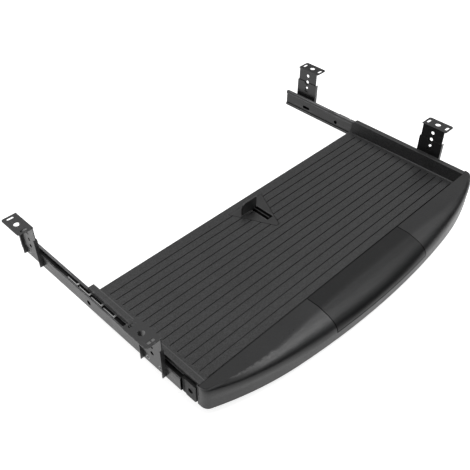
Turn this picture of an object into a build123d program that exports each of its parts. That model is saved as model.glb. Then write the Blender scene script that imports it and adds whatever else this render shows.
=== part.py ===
from build123d import *

import math
import os

os.makedirs("parts", exist_ok=True)

# Under-desk keyboard tray on ball slides, hung from four desk brackets.
# Millimetres. X runs to the right, Y to the rear, Z up. The origin is the centre of
# the four round desk holes, on the faces that lie against the desk.

# Desk brackets
hole_spacing_x = 615.0
hole_spacing_y = 265.0
bracket_sheet = 1.2
flange_length = 44.6
flange_corner = 4.0
flange_edge = 11.5
desk_hole_radius = 4.5
desk_slot_length = 10.5
desk_slot_width = 4.2
desk_slot_offset = 16.8
leg_width = 39.4
leg_length = 54.8
leg_corner = 3.0
height_hole_radius = 2.9
height_hole_count = 4
height_hole_pitch = 12.0
height_hole_drop = 10.6

# Hangers that slide on the brackets' legs
hanger_top = 23.1
hanger_length = 49.9
hanger_lip = 6.0
hanger_sheet = 1.2
hanger_notch_radius = 5.2
hanger_slot_lift = 6.0
hanger_slot_length = 8.0
hanger_slot_width = 3.4
hanger_slot_tilt = 42
leg_side_gap = 0.3
leg_face_gap = 0.15

# Tray
tray_width = 575.0
deck_drop = 63.8
deck_depth = 217.3
deck_setback = 206.0
deck_sheet = 3.0
rim_height = 18.7
rim_band = 8.8
rim_overhang = 3.7
rim_thickness = 5.1
rim_end_radius = 5.0
wall_lean = 6.7
wall_sheet = 3.0
skirt_depth = 18.0
rear_lip_depth = 9.0
groove_count = 15
groove_first = 10.7
groove_pitch = 13.5
groove_width = 1.4
groove_depth = 0.9
groove_end_gap = 6.0
rib_depth = 8.0
rib_sheet = 2.0
rib_column_shares = (0.27, 0.54, 0.81)
rib_row_shares = (0.24, 0.50)
ledge_depth = 30.0
ledge_half_width = 190.0

# Palm rest and its centre grip
palm_half_width = 290.0
palm_wrap = 2.0
palm_wrap_gap = 0.2
palm_reach = 57.0
palm_shoulder_reach = 46.0
palm_corner_reach = 11.5
palm_shoulder_half = 166.0
palm_lip_drop = 4.0
palm_bottom_drop = 18.0
palm_round_shares = (0.48, 0.33, 0.17)
crown_steps = 9
crown_start_angle = 74
palm_skin = 3.0
palm_corner_radius = 11.0
palm_inset_corner_share = 0.6
grip_half_width = 100.0
grip_sheet = 3.0
grip_seam = 0.6

# Cable clip set into the deck
clip_shift = -3.0
clip_half_width = 36.5
clip_front_from_rear = 79.7
clip_rear_from_rear = 11.3
clip_nose_width = 6.0
clip_gap = 0.2
clip_flange = 3.0
clip_flange_sheet = 1.5
clip_slot_left = 2.5
clip_slot_right = 9.5
clip_slot_front = 19.0
clip_slot_length = 33.0
clip_tongue_width = 1.6
clip_tongue_left = 2.7
clip_tongue_gap = 2.0
clip_cross_slot_length = 11.0
clip_cross_slot_width = 1.8
clip_cross_slot_depth = 3.0
clip_cross_slot_setback = 3.5
clip_hook_width = 31.0
clip_hook_height = 20.5
clip_hook_sheet = 2.4
clip_hook_shift = -7.5
clip_hook_corner = 9.0
clip_chute_depth = 8.0
clip_chute_sheet = 1.5

# Ball slides
slide_thickness = 10.2
slide_length = 350.0
slide_front_setback = 179.0
slide_drop_below_deck = 2.1
rail_sheet = 1.0
sliding_rail_half_height = 15.1
sliding_rail_flange = 4.5
fixed_rail_half_height = 12.1
rail_bend_radius = 1.8
rail_nose_gap = 0.4
ball_radius = 1.25
ball_gap = 0.05
ball_from_web = 1.8
ball_track_bite = 0.3
balls_per_row = 11
ball_pitch = 9.5
cage_length = 102.0
cage_shift = 3.5
cage_sheet = 0.6
cage_strip_width = 3.0
cage_reach = 7.1
cage_tab_width = 1.1
cage_tab_length = 22.5
cage_tab_pitch = 26.4
cage_tab_count = 4
cage_arm_width = 3.0
web_slot_length = 16.0
web_slot_width = 5.4
web_slot_from_rear = 48.0
web_hole_drop = 3.0
web_hole_radius = 3.4
fixed_hole_radius = 3.8
web_recess = 1.5
web_step_height = 9.8
web_hole_from_rear = 118.0
fixed_hole_from_rear = 168.0

# Travel and its stops
tray_travel = 240.0
stud_radius = 2.4
stud_reach = 4.6
stud_chamfer = 0.4
stud_from_rear = 8.0
lance_length = 5.0
lance_height = 6.0
lance_reach = 4.2
stop_gap = 0.3
stop_block_length = 19.4
stop_block_width = 7.7
stop_block_front = 2.6
stop_block_corner = 4.0
stop_block_recess = 3.6
bumper_height = 27.0
bumper_depth = 5.5

# Fasteners
rivet_radius = 2.0
rivet_head_radius = 3.6
rivet_head = 1.1
rivet_spacing = 23.4
rivet_gap = 0.05
rivet_flare_radius = 3.2
screw_radius = 1.95
screw_head_radius = 3.6
screw_head = 1.8
screw_gap = 0.1
thread_gap = 0.05
screw_end = 1.0
rail_screw_shares = (0.28, 0.60, 0.92)
nut_radius = 4.0
nut_height = 3.2
palm_screw_shares = (0.24, 0.58, 0.92)
palm_screw_from_deck = 18.0
boss_radius = 4.5
pilot_depth = 9.0
grip_screw_share = 0.72
grip_screw_from_deck = 6.8
overrun = 1.0
pick_reach = 0.05

# Places that follow from the sizes above
deck_top = -deck_drop
deck_front = -deck_setback
deck_rear = deck_front + deck_depth
deck_under = deck_top - deck_sheet
rim_top = deck_top + rim_height
rim_under = rim_top - rim_thickness
skirt_bottom = deck_top - skirt_depth
tray_half = tray_width / 2
skirt_outer = tray_half - rim_overhang
skirt_inner = skirt_outer - wall_sheet
wall_top_x = tray_half - rim_band
wall_foot_x = wall_top_x - wall_lean
slide_centre = deck_top - slide_drop_below_deck
slide_front = -slide_front_setback
slide_rear = slide_front + slide_length
sliding_web = skirt_outer
web_back = sliding_web + web_recess
fixed_web = skirt_outer + slide_thickness
ball_x = sliding_web + rail_sheet + ball_from_web
ball_z = sliding_rail_half_height - rail_sheet - (ball_radius + ball_gap) + ball_track_bite
leg_inner = fixed_web + hanger_sheet + leg_face_gap
leg_outer = leg_inner + bracket_sheet
flange_outer = hole_spacing_x / 2 + flange_edge
hanger_half = leg_width / 2 + leg_side_gap + hanger_sheet
palm_floor = deck_top - palm_bottom_drop
palm_lip = deck_top - palm_lip_drop
stop_block_rear = deck_front + stop_block_front + stop_block_length
clip_front = deck_rear - clip_front_from_rear
clip_rear = deck_rear - clip_rear_from_rear
sides = {"left": -1, "right": 1}
bracket_rows = {"rear": hole_spacing_y / 2, "front": -hole_spacing_y / 2}


def block(x_range, y_range, z_range):
    """A box between two corners."""
    low = (min(x_range), min(y_range), min(z_range))
    high = (max(x_range), max(y_range), max(z_range))
    size = [b - a for a, b in zip(low, high)]
    middle = [(a + b) / 2 for a, b in zip(low, high)]
    return Pos(*middle) * Box(*size)


def rod_x(radius, x_range, y, z):
    """A round bar along X."""
    length = max(x_range) - min(x_range)
    return Pos(sum(x_range) / 2, y, z) * Rot(0, 90, 0) * Cylinder(radius, length)


def rod_y(radius, y_range, x, z):
    """A round bar along Y."""
    length = max(y_range) - min(y_range)
    return Pos(x, sum(y_range) / 2, z) * Rot(90, 0, 0) * Cylinder(radius, length)


def rod_z(radius, z_range, x, y):
    """A round bar along Z."""
    length = max(z_range) - min(z_range)
    return Pos(x, y, sum(z_range) / 2) * Cylinder(radius, length)


def prism_y(points, y_range):
    """A section in X and Z drawn out along Y."""
    outline = Polyline(*[(x, min(y_range), z) for x, z in points], close=True)
    return extrude(make_face(outline), amount=max(y_range) - min(y_range), dir=(0, 1, 0))


def prism_z(points, z_range):
    """An outline in X and Y drawn up along Z."""
    outline = Polyline(*[(x, y, min(z_range)) for x, y in points], close=True)
    return extrude(make_face(outline), amount=max(z_range) - min(z_range), dir=(0, 0, 1))


def on_side(shape, side):
    """A shape drawn for the right side, put on the named side."""
    if side == "right":
        return shape
    return mirror(shape, about=Plane.YZ)


def share_of(low, high, share):
    """The place that lies at a share of the way from low to high."""
    return low + (high - low) * share


def save(name, shape):
    """Writes one sub-part."""
    export_step(shape, "parts/" + name + ".step")


def height_holes():
    """Heights of the holes in a bracket's leg, from the top down."""
    return [-height_hole_drop - i * height_hole_pitch for i in range(height_hole_count)]


def desk_bracket(row_y):
    """Bent plate: a flange under the desk and a leg with a column of holes."""
    flange = block(
        (leg_inner, flange_outer),
        (row_y - flange_length / 2, row_y + flange_length / 2),
        (-bracket_sheet, 0),
    )
    corners = flange.edges().filter_by(Axis.Z).group_by(Axis.X)[-1]
    flange = fillet(corners, flange_corner)
    leg = block(
        (leg_inner, leg_outer),
        (row_y - leg_width / 2, row_y + leg_width / 2),
        (-leg_length, 0),
    )
    feet = leg.edges().filter_by(Axis.X).group_by(Axis.Z)[0]
    leg = fillet(feet, leg_corner)
    plate = flange + leg
    hole_x = hole_spacing_x / 2
    holes = rod_z(desk_hole_radius, (-bracket_sheet - overrun, overrun), hole_x, row_y)
    for way in (-1, 1):
        slot = extrude(
            SlotOverall(desk_slot_length, desk_slot_width), amount=bracket_sheet + 2 * overrun
        )
        holes += Pos(hole_x, row_y + way * desk_slot_offset, -bracket_sheet - overrun) * slot
    for z in height_holes():
        holes += rod_x(height_hole_radius, (leg_inner - overrun, leg_outer + overrun), row_y, z)
    return plate - holes


def rivet_places(row_y):
    """Where the two rivets of one hanger sit along Y."""
    return (row_y - rivet_spacing / 2, row_y + rivet_spacing / 2)


def hanger(row_y):
    """Channel that rides up and down on the leg and carries the fixed rail."""
    top = -hanger_top
    bottom = top - hanger_length
    plate_x = (fixed_web, fixed_web + hanger_sheet)
    plate = block(plate_x, (row_y - hanger_half, row_y + hanger_half), (bottom, top))
    for way in (-1, 1):
        lip_y = (row_y + way * (hanger_half - hanger_sheet), row_y + way * hanger_half)
        plate += block((fixed_web, fixed_web + hanger_lip), lip_y, (bottom, top))
    across = (fixed_web - overrun, fixed_web + hanger_sheet + overrun)
    holes = height_holes()
    notch = rod_x(hanger_notch_radius, across, row_y, holes[1])
    slot = extrude(SlotOverall(hanger_slot_length, hanger_slot_width), amount=hanger_sheet + 2 * overrun)
    for z, tilt in ((holes[2], hanger_slot_tilt), (holes[3] + hanger_slot_lift, 90)):
        notch += Pos(fixed_web - overrun, row_y, z) * Rot(0, 90, 0) * Rot(0, 0, tilt) * slot
    for y in rivet_places(row_y):
        notch += rod_x(rivet_radius + rivet_gap, across, y, slide_centre)
        notch += rivet_flare(y, rivet_gap)
    return plate - notch


def rivet_flare(y, gap):
    """The flared end that lies flush in the hanger's outer face."""
    flare = Cone(rivet_flare_radius + gap, rivet_radius + gap, hanger_sheet)
    return Pos(fixed_web + hanger_sheet / 2, y, slide_centre) * Rot(0, -90, 0) * flare


def rail_rivets():
    """Rivets that join the fixed rail to its two hangers."""
    rivets = []
    for row_y in bracket_rows.values():
        for y in rivet_places(row_y):
            inside = fixed_web - rail_sheet
            head = rod_x(rivet_head_radius, (inside - rivet_head, inside), y, slide_centre)
            shank = rod_x(rivet_radius, (inside, fixed_web + hanger_sheet), y, slide_centre)
            rivets.append(head + shank + rivet_flare(y, 0))
    return Compound(children=rivets)


def rail_channel(web_x, open_x, half_height):
    """Rolled channel with its web at one side and two level flanges."""
    way = 1 if open_x > web_x else -1
    y_range = (slide_front, slide_rear)
    shell = block((web_x, open_x), y_range, (-half_height, half_height))
    bends = shell.edges().filter_by(Axis.Y).filter_by_position(
        Axis.X, web_x - pick_reach, web_x + pick_reach
    )
    shell = fillet(bends, rail_bend_radius)
    core = block(
        (web_x + way * rail_sheet, open_x + way * overrun),
        (slide_front - overrun, slide_rear + overrun),
        (-half_height + rail_sheet, half_height - rail_sheet),
    )
    inner_x = web_x + way * rail_sheet
    inner = core.edges().filter_by(Axis.Y).filter_by_position(
        Axis.X, inner_x - pick_reach, inner_x + pick_reach
    )
    core = fillet(inner, rail_bend_radius - rail_sheet)
    return shell - core


def ball_tracks():
    """The two round tracks in which the ball rows run."""
    track_y = (slide_front - overrun, slide_rear + overrun)
    tracks = rod_y(ball_radius + ball_gap, track_y, ball_x, ball_z)
    return tracks + rod_y(ball_radius + ball_gap, track_y, ball_x, -ball_z)


def fixed_rail():
    """Rail held by the hangers, with the pressed stop for full extension."""
    nose = sliding_web + rail_sheet + rail_nose_gap
    rail = rail_channel(fixed_web, nose, fixed_rail_half_height) - ball_tracks()
    across = (fixed_web - rail_sheet - overrun, fixed_web + overrun)
    for row_y in bracket_rows.values():
        for y in rivet_places(row_y):
            rail -= rod_x(rivet_radius + rivet_gap, across, y, 0)
    rail -= rod_x(fixed_hole_radius, across, slide_rear - fixed_hole_from_rear, 0)
    stop_rear = slide_rear - stud_from_rear - tray_travel - stud_radius - stop_gap
    lance_x = (fixed_web - rail_sheet - lance_reach, fixed_web - rail_sheet)
    lance = block(lance_x, (stop_rear - lance_length, stop_rear), (-lance_height / 2, lance_height / 2))
    return Pos(0, 0, slide_centre) * (rail + lance)


def rail_screw_places():
    """Where the screws between the tray's side and the sliding rail sit along Y."""
    return [share_of(deck_front, deck_rear, share) for share in rail_screw_shares]


def stepped_web(rail):
    """Sets the middle of a sliding rail's web back from the tray's side."""
    y_range = (slide_front, slide_rear)
    cut = (slide_front - overrun, slide_rear + overrun)
    rail -= block((sliding_web - overrun, web_back), cut, (-web_step_height, web_step_height))
    outer = web_step_height + rail_sheet
    rail += block((web_back, web_back + rail_sheet), y_range, (-outer, outer))
    for way in (-1, 1):
        step = (way * web_step_height, way * outer)
        rail += block((sliding_web, web_back + rail_sheet), y_range, step)
    return rail


def sliding_rail():
    """Rail screwed to the side of the tray."""
    rail = rail_channel(sliding_web, sliding_web + sliding_rail_flange, sliding_rail_half_height)
    rail = stepped_web(rail - ball_tracks())
    across = (web_back - overrun, web_back + rail_sheet + overrun)
    for y in rail_screw_places():
        rail -= rod_x(screw_radius + screw_gap, across, y, 0)
    rail -= rod_x(web_hole_radius, across, slide_rear - web_hole_from_rear, -web_hole_drop)
    slot_place = Pos(web_back - overrun, slide_rear - web_slot_from_rear, -web_hole_drop)
    slot = extrude(SlotOverall(web_slot_length, web_slot_width), amount=rail_sheet + 2 * overrun)
    rail -= slot_place * Rot(0, 90, 0) * Rot(0, 0, 90) * slot
    return Pos(0, 0, slide_centre) * rail


def travel_stud():
    """Stud welded to the sliding rail's web that meets the pressed stop."""
    inside = web_back + rail_sheet
    y = slide_rear - stud_from_rear
    stud = rod_x(stud_radius, (inside, inside + stud_reach), y, slide_centre)
    return chamfer(stud.edges().group_by(Axis.X)[-1], stud_chamfer)


def cage_strip():
    """One ball cage: a strip with pockets, and a broken edge strip on short arms."""
    inner = ball_x - cage_strip_width / 2
    middle = (slide_front + slide_rear) / 2 + cage_shift
    ends = (middle - cage_length / 2, middle + cage_length / 2)
    level = (-cage_sheet / 2, cage_sheet / 2)
    strip = block((inner, inner + cage_strip_width), ends, level)
    outer = inner + cage_reach
    for i in range(cage_tab_count):
        tab_y = middle + (i - (cage_tab_count - 1) / 2) * cage_tab_pitch
        tab = (tab_y - cage_tab_length / 2, tab_y + cage_tab_length / 2)
        arm = (tab[0], tab[0] + cage_arm_width)
        strip += block((outer - cage_tab_width, outer), tab, level)
        strip += block((inner + cage_strip_width, outer - cage_tab_width), arm, level)
    for y in ball_places():
        strip -= rod_z(ball_radius + 2 * ball_gap, (-overrun, overrun), ball_x, y)
    return strip


def ball_places():
    """Where the balls of one row sit along Y."""
    middle = (slide_front + slide_rear) / 2 + cage_shift
    return [middle + (i - (balls_per_row - 1) / 2) * ball_pitch for i in range(balls_per_row)]


def ball_cages():
    """The upper and lower cages of one slide."""
    strip = cage_strip()
    pair = [Pos(0, 0, slide_centre + way * ball_z) * strip for way in (1, -1)]
    return Compound(children=pair)


def cage_balls():
    """Both rows of balls of one slide."""
    balls = []
    for way in (1, -1):
        for y in ball_places():
            balls.append(Pos(ball_x, y, slide_centre + way * ball_z) * Sphere(ball_radius))
    return Compound(children=balls)


def rail_screws():
    """Pan-head screws from inside the sliding rail into the tray's side."""
    screws = []
    inside = web_back + rail_sheet
    tip = skirt_inner - nut_height - screw_end
    for y in rail_screw_places():
        head = rod_x(screw_head_radius, (inside, inside + screw_head), y, slide_centre)
        screws.append(head + rod_x(screw_radius, (tip, inside), y, slide_centre))
    return Compound(children=screws)


def nut_x(x_range, y, z):
    """Hexagon nut along X."""
    hexagon = extrude(RegularPolygon(nut_radius, 6), amount=max(x_range) - min(x_range))
    nut = Pos(min(x_range), y, z) * Rot(0, 90, 0) * hexagon
    return nut - rod_x(screw_radius + thread_gap, (min(x_range) - overrun, max(x_range) + overrun), y, z)


def rail_nuts():
    """Nuts inside the tray's side."""
    nuts = [nut_x((skirt_inner - nut_height, skirt_inner), y, slide_centre) for y in rail_screw_places()]
    return Compound(children=nuts)


def stop_block():
    """Block at the front of the tray's side that closes the slide."""
    y_range = (deck_front + stop_block_front, stop_block_rear)
    z_range = (slide_centre - sliding_rail_half_height, slide_centre + sliding_rail_half_height)
    shape = block((skirt_outer, skirt_outer + stop_block_width), y_range, z_range)
    lower = shape.edges().filter_by(Axis.X).group_by(Axis.Z)[0]
    shape = fillet(lower, stop_block_corner)
    outer = skirt_outer + stop_block_width
    recess_x = (outer - stop_block_recess, outer + overrun)
    middle = sum(y_range) / 2
    shape -= rod_x(screw_head_radius + screw_gap, recess_x, middle, slide_centre)
    through = (skirt_outer - overrun, outer)
    return shape - rod_x(screw_radius + screw_gap, through, middle, slide_centre)


def stop_block_screw():
    """Screw that holds the stop block, with its nut kept as a second piece."""
    y = deck_front + stop_block_front + stop_block_length / 2
    seat = skirt_outer + stop_block_width - stop_block_recess
    head = rod_x(screw_head_radius, (seat, seat + screw_head), y, slide_centre)
    shank = rod_x(screw_radius, (skirt_inner - nut_height - screw_end, seat), y, slide_centre)
    nut = nut_x((skirt_inner - nut_height, skirt_inner), y, slide_centre)
    return Compound(children=[head + shank, nut])


def end_bumper():
    """Rubber pad on the stop block that meets the fixed rail's end."""
    outer = skirt_outer + stop_block_width
    pad_z = (slide_centre - bumper_height / 2, slide_centre + bumper_height / 2)
    return block((outer - bumper_depth, outer), (stop_block_rear, slide_front - stop_gap), pad_z)


def palm_outline(reaches, inset, back, z):
    """Plan of the palm rest at one height: straight back, bowed front."""
    reach, shoulder, corner = reaches
    half = palm_half_width - inset
    side_y = deck_front - corner + inset * palm_inset_corner_share
    points = [
        (-palm_shoulder_half, deck_front - shoulder + inset, z),
        (0, deck_front - reach + inset, z),
        (palm_shoulder_half, deck_front - shoulder + inset, z),
    ]
    bow = ThreePointArc(*points)
    right = TangentArc(points[2], (half, side_y, z), tangent=bow % 1)
    left = TangentArc(points[0], (-half, side_y, z), tangent=-(bow % 0))
    rest = Polyline((half, side_y, z), (half, back, z), (-half, back, z), (-half, side_y, z))
    return make_face([bow, right, rest, left])


def palm_levels(inset):
    """Heights and reaches of the crown's outlines, from the flat top down to the lip."""
    top = rim_top - inset
    full = (palm_reach, palm_shoulder_reach, palm_corner_reach)
    levels = []
    for step in range(crown_steps + 1):
        height = math.sin(math.radians(crown_start_angle) * (1 - step / crown_steps))
        reaches = [r * (1 - height ** (1 / s)) ** s for r, s in zip(full, palm_round_shares)]
        levels.append((share_of(palm_lip, top, height) if step else top, reaches))
    return levels


def palm_volume(inset, back, z_bottom):
    """The palm rest's form, drawn in by an inset."""
    outlines = [palm_outline(reaches, inset, back, z) for z, reaches in palm_levels(inset)]
    floor = palm_outline(palm_levels(inset)[-1][1], inset, back, z_bottom)
    return loft(outlines + [floor], ruled=True)


def round_corners(outline):
    """Rounds the two front corners of the palm rest's outline."""
    corners = [v for v in outline.vertices() if abs(v.X) > palm_shoulder_half + palm_corner_radius]
    corners = [v for v in corners if v.Y < deck_front - palm_corner_reach / 2]
    return fillet(corners, palm_corner_radius)


def palm_body():
    """The palm rest's outer form: a rounded crown over an upright lip, wrapped round the tray."""
    back = deck_front + palm_wrap
    levels = palm_levels(0)
    levels.append((palm_floor, levels[-1][1]))
    body = loft([round_corners(palm_outline(reaches, 0, back, z)) for z, reaches in levels], ruled=True)
    inner = tray_half + palm_wrap_gap
    through = (palm_floor - overrun, rim_top + overrun)
    return body - block((-inner, inner), (deck_front, back + overrun), through)


def grip_zone(half_width, extra):
    """The space across the middle of the palm rest that the grip fills."""
    y_range = (deck_front - palm_reach - overrun, deck_front + overrun)
    return block((-half_width, half_width), y_range, (palm_lip - extra, rim_top + overrun))


def palm_screw_places():
    """Where the palm rest's screws stand."""
    y = deck_front - palm_screw_from_deck
    right = [(ledge_half_width * share, y) for share in palm_screw_shares]
    return right + [(-x, y) for x, y in right]


def grip_screw_places():
    """Where the grip's screws stand."""
    y = deck_front - grip_screw_from_deck
    return [(way * grip_half_width * grip_screw_share, y) for way in (-1, 1)]


def palm_hollow():
    """The room inside the palm rest, deeper under the grip."""
    back = deck_front - palm_skin
    open_floor = palm_floor - overrun
    hollow = palm_volume(palm_skin, back, open_floor)
    deep = palm_volume(palm_skin + grip_sheet, back, open_floor)
    zone = grip_zone(grip_half_width + palm_skin, palm_skin)
    return (hollow - zone) + (deep & zone)


def palm_rest():
    """Moulded palm rest: a skin with a bowed front, bosses inside and a recess for the grip."""
    shape = palm_body() - palm_hollow()
    seat = palm_volume(grip_sheet, deck_front, palm_floor)
    shape -= grip_zone(grip_half_width, 0) - seat
    shape -= block(
        (-ledge_half_width, ledge_half_width),
        (deck_front - palm_skin - overrun, deck_front + overrun),
        (palm_floor - overrun, deck_top),
    )
    for x, y in palm_screw_places():
        inside = rim_top - palm_skin - (grip_sheet if abs(x) < grip_half_width else 0)
        shape += rod_z(boss_radius, (deck_top, inside), x, y)
        shape -= rod_z(screw_radius + thread_gap, (deck_top - overrun, deck_top + pilot_depth), x, y)
    for x, y in grip_screw_places():
        under = rim_top - palm_skin - grip_sheet - overrun
        shape -= rod_z(screw_radius + screw_gap, (under, rim_top), x, y)
    return shape


def centre_grip():
    """Grip pad across the middle of the palm rest, with blind holes underneath."""
    core = palm_volume(grip_sheet, deck_front + overrun, palm_floor)
    grip = (palm_body() & grip_zone(grip_half_width - grip_seam, 0)) - core
    for x, y in grip_screw_places():
        top = rim_top - grip_sheet
        grip -= rod_z(screw_radius, (top - overrun, top + grip_sheet / 2), x, y)
    return grip


def grip_screws():
    """Short screws that hold the grip from inside the palm rest."""
    screws = []
    under = rim_top - palm_skin - grip_sheet
    for x, y in grip_screw_places():
        head = rod_z(screw_head_radius, (under - screw_head, under), x, y)
        screws.append(head + rod_z(screw_radius, (under, rim_top - grip_sheet / 2 - screw_gap), x, y))
    return Compound(children=screws)


def palm_screws():
    """Screws from under the tray's ledge up into the palm rest."""
    screws = []
    for x, y in palm_screw_places():
        head = rod_z(screw_head_radius, (deck_under - screw_head, deck_under), x, y)
        shank = rod_z(screw_radius, (deck_under, deck_top + pilot_depth - screw_end), x, y)
        screws.append(head + shank)
    return Compound(children=screws)


def clip_outline(grow):
    """Plan of the cable clip: a blunt wedge that points to the front."""
    nose = clip_nose_width / 2 + grow
    half = clip_half_width + grow
    return [
        (clip_shift - half, clip_rear + grow),
        (clip_shift - nose, clip_front - grow),
        (clip_shift + nose, clip_front - grow),
        (clip_shift + half, clip_rear + grow),
    ]


def cable_clip():
    """Plate set flush in the deck, with a cable slot over a chute, a tongue and a hook."""
    plate = prism_z(clip_outline(0), (deck_under, deck_top))
    plate += prism_z(clip_outline(clip_flange), (deck_under - clip_flange_sheet, deck_under))
    slot_x = (clip_shift - clip_slot_left, clip_shift + clip_slot_right)
    slot_y = (clip_front + clip_slot_front, clip_front + clip_slot_front + clip_slot_length)
    plate += block(
        (slot_x[0] - clip_chute_sheet, slot_x[1] + clip_chute_sheet),
        (slot_y[0] - clip_chute_sheet, slot_y[1] + clip_chute_sheet),
        (deck_under - clip_chute_depth, deck_under),
    )
    through = (deck_under - clip_chute_depth - overrun, deck_top + overrun)
    plate -= block(slot_x, slot_y, through)
    cross_y = slot_y[1] - clip_cross_slot_setback
    plate -= block(
        (slot_x[0] - clip_cross_slot_length, slot_x[0] + overrun),
        (cross_y - clip_cross_slot_width, cross_y),
        (deck_top - clip_cross_slot_depth, deck_top + overrun),
    )
    tongue_x = clip_shift + clip_tongue_left
    plate += block(
        (tongue_x, tongue_x + clip_tongue_width),
        (slot_y[0] + clip_tongue_gap, slot_y[1]),
        (deck_under - clip_chute_depth, deck_top),
    )
    hook_x = clip_shift + clip_hook_shift
    hook = block(
        (hook_x - clip_hook_width / 2, hook_x + clip_hook_width / 2),
        (slot_y[1], slot_y[1] + clip_hook_sheet),
        (deck_top, deck_top + clip_hook_height),
    )
    tops = hook.edges().filter_by(Axis.Y).group_by(Axis.Z)[-1].sort_by(Axis.X)
    hook = fillet(tops[0], clip_hook_corner)
    near = hook.edges().filter_by(Axis.Y).group_by(Axis.X)[-1].sort_by(Axis.Z)
    return plate + fillet(near[-1], clip_hook_sheet)


def tray_section():
    """Cross-section of the tray: deck, leaning walls, rims and side skirts."""
    lean = wall_lean / rim_height
    under_foot = wall_foot_x + wall_sheet - lean * deck_sheet
    right = [
        (under_foot, deck_under),
        (skirt_inner, deck_under + (skirt_inner - under_foot) / lean),
        (skirt_inner, skirt_bottom),
        (skirt_outer, skirt_bottom),
        (skirt_outer, rim_under),
        (tray_half, rim_under),
        (tray_half, rim_top),
        (wall_top_x, rim_top),
        (wall_foot_x, deck_top),
    ]
    return right + [(-x, z) for x, z in reversed(right)]


def rim_end_rounding():
    """What is cut away to round the rims' rear ends."""
    y_range = (deck_rear - rim_end_radius, deck_rear + overrun)
    across = (-tray_half - overrun, tray_half + overrun)
    corner = block(across, y_range, (rim_top - rim_end_radius, rim_top + overrun))
    return corner - rod_x(rim_end_radius, across, y_range[0], rim_top - rim_end_radius)


def tray_ribs():
    """Stiffening ribs under the deck."""
    level = (deck_under - rib_depth, deck_under)
    inner = wall_foot_x
    ribs = []
    for share in rib_column_shares:
        for way in (-1, 1):
            x = way * inner * share
            ribs.append(block((x - rib_sheet / 2, x + rib_sheet / 2), (deck_front, deck_rear), level))
    for share in rib_row_shares:
        y = share_of(deck_front, deck_rear, share)
        ribs.append(block((-inner, inner), (y - rib_sheet / 2, y + rib_sheet / 2), level))
    return ribs


def tray():
    """Moulded tray that carries the keyboard."""
    shape = prism_y(tray_section(), (deck_front, deck_rear)) - rim_end_rounding()
    inner = (-wall_foot_x, wall_foot_x)
    for rib in tray_ribs():
        shape += rib
    front_wall = block(
        (-skirt_inner, skirt_inner), (deck_front, deck_front + wall_sheet), (skirt_bottom, deck_under)
    )
    rear_y = (deck_rear - wall_sheet, deck_rear)
    rear_lip = block(inner, rear_y, (deck_under - rear_lip_depth, deck_under))
    ledge = block(
        (-ledge_half_width, ledge_half_width),
        (deck_front - ledge_depth, deck_front),
        (deck_under, deck_top),
    )
    shape += front_wall
    shape += rear_lip
    shape += ledge
    for i in range(groove_count):
        y = deck_front + groove_first + i * groove_pitch
        shape -= block(
            (-wall_foot_x + groove_end_gap, wall_foot_x - groove_end_gap),
            (y - groove_width / 2, y + groove_width / 2),
            (deck_top - groove_depth, deck_top + overrun),
        )
    shape -= prism_z(clip_outline(clip_gap), (deck_under - overrun, deck_top + overrun))
    lower = (deck_under - rib_depth - overrun, deck_under)
    shape -= prism_z(clip_outline(clip_flange + clip_gap), lower)
    side_x = (skirt_inner - overrun, skirt_outer + overrun)
    block_screw_y = deck_front + stop_block_front + stop_block_length / 2
    for way in (-1, 1):
        for y in rail_screw_places() + [block_screw_y]:
            hole = (way * side_x[0], way * side_x[1])
            shape -= rod_x(screw_radius + screw_gap, hole, y, slide_centre)
    for x, y in palm_screw_places():
        through = (deck_under - overrun, deck_top + overrun)
        shape -= rod_z(screw_radius + screw_gap, through, x, y)
    return shape


def main():
    """Builds each sub-part and writes it."""
    save("tray", tray())
    save("palm_rest", palm_rest())
    save("centre_grip", centre_grip())
    save("cable_clip", cable_clip())
    save("palm_screws", palm_screws())
    save("grip_screws", grip_screws())
    brackets = {row: desk_bracket(y) for row, y in bracket_rows.items()}
    hangers = {row: hanger(y) for row, y in bracket_rows.items()}
    slide_parts = {
        "fixed_rail": fixed_rail(),
        "sliding_rail": sliding_rail(),
        "ball_cages": ball_cages(),
        "cage_balls": cage_balls(),
        "rail_rivets": rail_rivets(),
        "rail_screws": rail_screws(),
        "rail_nuts": rail_nuts(),
        "travel_stud": travel_stud(),
        "stop_block": stop_block(),
        "stop_block_screw": stop_block_screw(),
        "end_bumper": end_bumper(),
    }
    for side in sides:
        for row in bracket_rows:
            save(side + "_" + row + "_desk_bracket", on_side(brackets[row], side))
            save(side + "_" + row + "_hanger", on_side(hangers[row], side))
        for name, shape in slide_parts.items():
            save(side + "_" + name, on_side(shape, side))


main()
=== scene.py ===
"""Dresses the under-desk keyboard tray with its slides and brackets, and sets the studio."""

import logging
import math
from dataclasses import asdict, dataclass, fields
from enum import Enum
from functools import cache
from typing import Any, Union

import bmesh
import bpy
from mathutils import Matrix, Vector


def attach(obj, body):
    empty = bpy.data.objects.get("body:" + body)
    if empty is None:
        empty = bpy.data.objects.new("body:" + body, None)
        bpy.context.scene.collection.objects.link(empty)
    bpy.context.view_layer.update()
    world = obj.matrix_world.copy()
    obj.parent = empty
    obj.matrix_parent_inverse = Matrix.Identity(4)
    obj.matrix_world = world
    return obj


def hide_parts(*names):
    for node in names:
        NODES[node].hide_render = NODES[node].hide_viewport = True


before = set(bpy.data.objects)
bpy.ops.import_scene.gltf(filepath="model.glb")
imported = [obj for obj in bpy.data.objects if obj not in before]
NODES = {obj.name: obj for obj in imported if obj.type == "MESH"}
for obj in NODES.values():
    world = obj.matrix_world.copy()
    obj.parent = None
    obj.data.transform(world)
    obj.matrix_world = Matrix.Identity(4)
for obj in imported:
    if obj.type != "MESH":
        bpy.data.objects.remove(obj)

LOG = logging.getLogger("keyboard_tray")
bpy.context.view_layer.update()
Colour = tuple[float, float, float]
Triple = tuple[float, float, float]
Pair = tuple[float, float]
Piece = bpy.types.Object
Pieces = list[Piece]
Tree = bpy.types.NodeTree
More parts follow.
